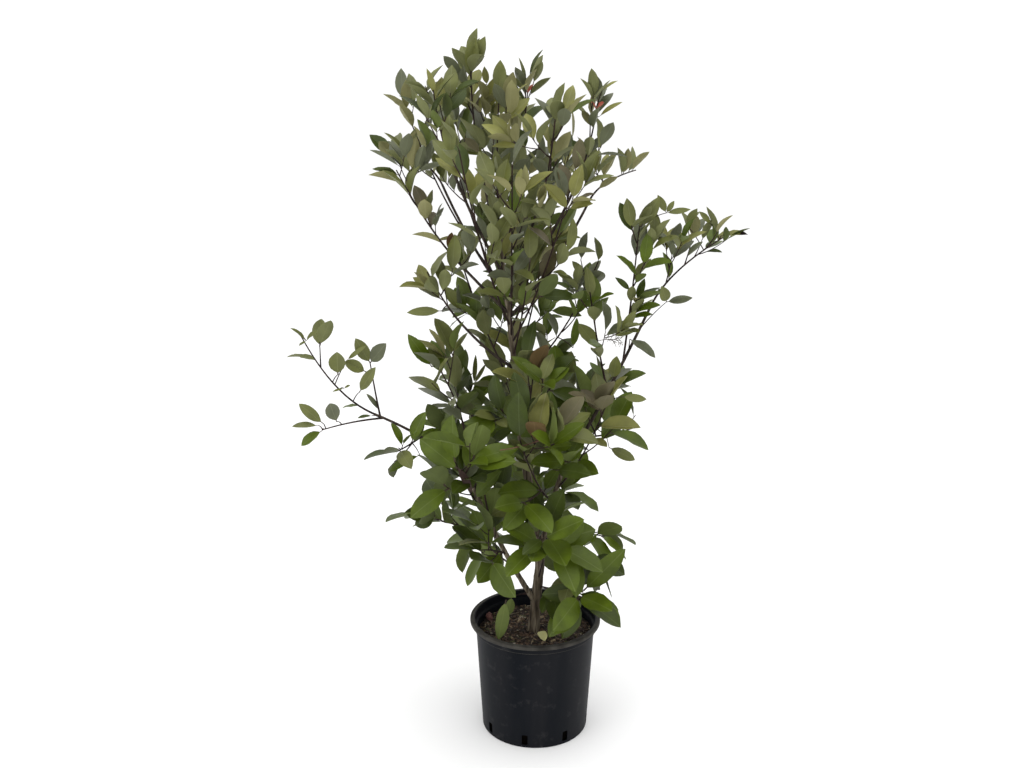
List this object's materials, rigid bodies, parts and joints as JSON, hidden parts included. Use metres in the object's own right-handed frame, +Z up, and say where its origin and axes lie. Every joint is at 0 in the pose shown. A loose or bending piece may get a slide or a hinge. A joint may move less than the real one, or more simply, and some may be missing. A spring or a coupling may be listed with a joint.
{
  "type": "potted photinia",
  "caption": "Evergreen photinia shrub with an open, leafy crown on a leaning trunk, growing in soil in a round black nursery pot.",
  "frame": {"origin": "centre of the pot's flat underside", "axes": "+Z up along the pot's axis, +X to the right and -Y towards the viewer in the picture"},
  "size_m": [0.9698, 0.5194, 1.5712],
  "materials": {
    "pot": "satin",
    "soil": "matte",
    "bark": "matte",
    "leaf": "satin"
  },
  "bodies": {
    "root": {"pot": "pot", "soil": "soil", "trunk": "bark", "left_stem": "bark", "right_stem": "bark", "bough_left_arm": "bark", "bough_middle_left": "bark", "bough_waist_left": "bark", "bough_upper_left": "bark", "bough_shoulder_left": "bark", "bough_top_left": "bark", "bough_peak": "bark", "bough_top_right_front": "bark", "bough_top_right": "bark", "bough_shoulder_right": "bark", "right_arm": "bark", "foliage_left_arm_tip": "leaf", "foliage_left_arm_low": "leaf", "foliage_left_arm_up": "leaf", "foliage_left_arm_foot": "leaf", "foliage_middle_left": "leaf", "foliage_waist_left": "leaf", "foliage_upper_left": "leaf", "foliage_shoulder_left": "leaf", "foliage_top_left_outer": "leaf", "foliage_top_left": "leaf", "foliage_peak": "leaf", "foliage_top_centre": "leaf", "foliage_top_back": "leaf", "foliage_top_right_front": "leaf", "foliage_top_right": "leaf", "foliage_shoulder_right": "leaf", "foliage_crown_front_left": "leaf", "foliage_crown_front": "leaf", "foliage_crown_front_right": "leaf", "foliage_crown_back_left": "leaf", "foliage_crown_back": "leaf", "foliage_crown_back_right": "leaf", "foliage_waist_front": "leaf", "foliage_waist_right": "leaf", "foliage_waist_right_low": "leaf", "foliage_waist_back_left": "leaf", "foliage_waist_back_right": "leaf", "foliage_middle_front_left": "leaf", "foliage_middle_front": "leaf", "foliage_middle_centre": "leaf", "foliage_middle_right": "leaf", "foliage_middle_right_back": "leaf", "foliage_middle_back": "leaf", "foliage_middle_back_left": "leaf", "foliage_arm_tip": "leaf", "foliage_arm_inner": "leaf", "foliage_arm_foot": "leaf", "foliage_low_left": "leaf", "foliage_low_front_left": "leaf", "foliage_low_centre": "leaf", "foliage_low_right": "leaf", "foliage_low_right_front": "leaf", "foliage_low_back": "leaf", "foliage_low_back_left": "leaf"}
  },
  "joints": []
}
